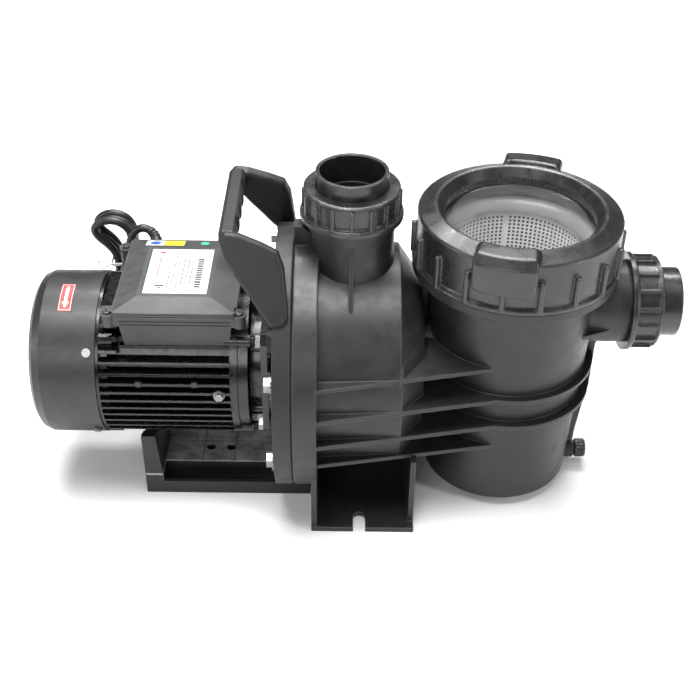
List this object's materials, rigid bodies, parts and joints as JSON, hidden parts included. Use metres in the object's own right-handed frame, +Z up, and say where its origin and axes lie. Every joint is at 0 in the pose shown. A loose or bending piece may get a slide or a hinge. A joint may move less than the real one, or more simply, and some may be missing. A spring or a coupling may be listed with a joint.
{
  "type": "pool pump",
  "caption": "Self-priming pool pump: finned motor, volute with upright union, strainer pot with clear lid, side union, carrying handle and foot.",
  "frame": {"origin": "on the floor, on the axis of the discharge port, in the middle of the foot", "axes": "+Z up, +X along the shaft from the motor to the suction port, +Y away from the front"},
  "size_m": [0.5852, 0.2846, 0.3247],
  "materials": {
    "moulded_black": "satin black moulded plastic",
    "black_enamel": "glossy black enamel on cast aluminium",
    "cover_paint": "satin dark grey paint on steel sheet",
    "box_plastic": "fine textured dark grey plastic",
    "base_plastic": "dull black plastic",
    "zinc_steel": "zinc plated steel",
    "adapter_metal": "black painted cast iron",
    "shaft_steel": "ground stainless steel",
    "lamination_steel": "stacked laminations",
    "copper_winding": "varnished copper wire",
    "brass_insert": "turned brass",
    "wet_plastic": "glass filled plastic",
    "seal_ceramic": "white ceramic",
    "seal_carbon": "carbon graphite",
    "black_rubber": "moulded rubber",
    "cord_rubber": "satin black cord sheath",
    "tie_plastic": "white twist tie",
    "basket_plastic": "translucent white mesh",
    "clear_lens": "clear polycarbonate",
    "capacitor_can": "white plastic can",
    "label_white": null,
    "label_red": "red film with a plain white arrow"
  },
  "bodies": {
    "root": {"adapter_bolts": "zinc_steel", "arrow_label": "label_red", "body_o_ring": "black_rubber", "cable_gland": "box_plastic", "capacitor": "capacitor_can", "cord_hank": "cord_rubber", "cord_tie": "tie_plastic", "cradle_pad": "black_rubber", "diffuser": "wet_plastic", "earth_screw": "zinc_steel", "fan_cover": "cover_paint", "fan_cover_screws": "zinc_steel", "flange_bolts": "zinc_steel", "flange_inserts": "brass_insert", "front_bearing_outer": "shaft_steel", "front_end_shield": "black_enamel", "motor_adapter": "adapter_metal", "motor_base": "base_plastic", "motor_housing": "black_enamel", "plug": "cord_rubber", "plug_pins": "brass_insert", "power_cord": "cord_rubber", "pump_body": "moulded_black", "rating_label": "label_white", "rear_bearing_outer": "shaft_steel", "rear_end_shield": "black_enamel", "seal_plate": "moulded_black", "seal_seat": "seal_ceramic", "stator_core": "lamination_steel", "stator_windings": "copper_winding", "terminal_block": "box_plastic", "terminal_box": "box_plastic", "terminal_gasket": "black_rubber", "terminal_lid": "box_plastic", "terminal_lid_screws": "zinc_steel", "tie_bolts": "zinc_steel", "wear_ring": "brass_insert"},
    "rotor": {"motor_shaft": "shaft_steel", "rotor_core": "lamination_steel", "cooling_fan": "moulded_black", "impeller": "wet_plastic", "impeller_screw": "shaft_steel", "seal_head": "seal_carbon", "seal_spring": "shaft_steel", "slinger": "black_rubber", "front_bearing_inner": "shaft_steel", "rear_bearing_inner": "shaft_steel"},
    "bearing_cages": {"bearing_balls": "shaft_steel"},
    "discharge_union": {"discharge_tail": "moulded_black", "discharge_o_ring": "black_rubber"},
    "discharge_ring": {"discharge_nut": "moulded_black"},
    "suction_union": {"suction_tail": "moulded_black", "suction_o_ring": "black_rubber"},
    "suction_ring": {"suction_nut": "moulded_black"},
    "lid": {"lid_lens": "clear_lens", "lid_o_ring": "black_rubber"},
    "ring": {"lid_ring": "moulded_black"},
    "basket": {"strainer_basket": "basket_plastic"},
    "drain_seal": {"drain_o_ring": "black_rubber"},
    "drain_cap": {"drain_plug": "moulded_black"}
  },
  "joints": [
    {"name": "rotor_spin", "type": "hinge", "parent": "root", "child": "rotor", "pos_m": [0, 0, 0.13], "axis": [1, 0, 0], "continuous": true},
    {"name": "bearing_roll", "type": "hinge", "parent": "root", "child": "bearing_cages", "pos_m": [0, 0, 0.13], "axis": [1, 0, 0], "continuous": true},
    {"name": "discharge_union_lift", "type": "slide", "parent": "root", "child": "discharge_union", "axis": [0, 0, 1], "range_m": [0, 0.016]},
    {"name": "discharge_nut_turn", "type": "hinge", "parent": "discharge_union", "child": "discharge_ring", "pos_m": [0, 0, 0.29], "axis": [0, 0, 1], "range_deg": [0, 1440]},
    {"name": "suction_union_pull", "type": "slide", "parent": "root", "child": "suction_union", "axis": [1, 0, 0], "range_m": [0, 0.016]},
    {"name": "suction_nut_turn", "type": "hinge", "parent": "suction_union", "child": "suction_ring", "pos_m": [0.26, 0, 0.1948], "axis": [1, 0, 0], "range_deg": [0, 1440]},
    {"name": "lid_lift", "type": "slide", "parent": "root", "child": "lid", "axis": [0, 0, 1], "range_m": [0, 0.3]},
    {"name": "ring_turn", "type": "hinge", "parent": "lid", "child": "ring", "pos_m": [0.1469, 0, 0.28], "axis": [0, 0, 1], "range_deg": [0, 90]},
    {"name": "basket_lift", "type": "slide", "parent": "root", "child": "basket", "axis": [0, 0, 1], "range_m": [0, 0.21]},
    {"name": "drain_pull", "type": "slide", "parent": "root", "child": "drain_seal", "axis": [1, 0, 0], "range_m": [0, 0.012]},
    {"name": "drain_turn", "type": "hinge", "parent": "drain_seal", "child": "drain_cap", "pos_m": [0.235, 0, 0.0145], "axis": [1, 0, 0], "range_deg": [0, 1080]}
  ],
  "couplings": [
    {"joint": "bearing_roll", "follows": "rotor_spin", "ratio": 0.4},
    {"joint": "discharge_union_lift", "follows": "discharge_nut_turn", "m_per_rad": 0.00063656},
    {"joint": "suction_union_pull", "follows": "suction_nut_turn", "m_per_rad": 0.00063656},
    {"joint": "basket_lift", "follows": "lid_lift", "ratio": 0.7},
    {"joint": "drain_pull", "follows": "drain_turn", "m_per_rad": 0.00063656}
  ]
}
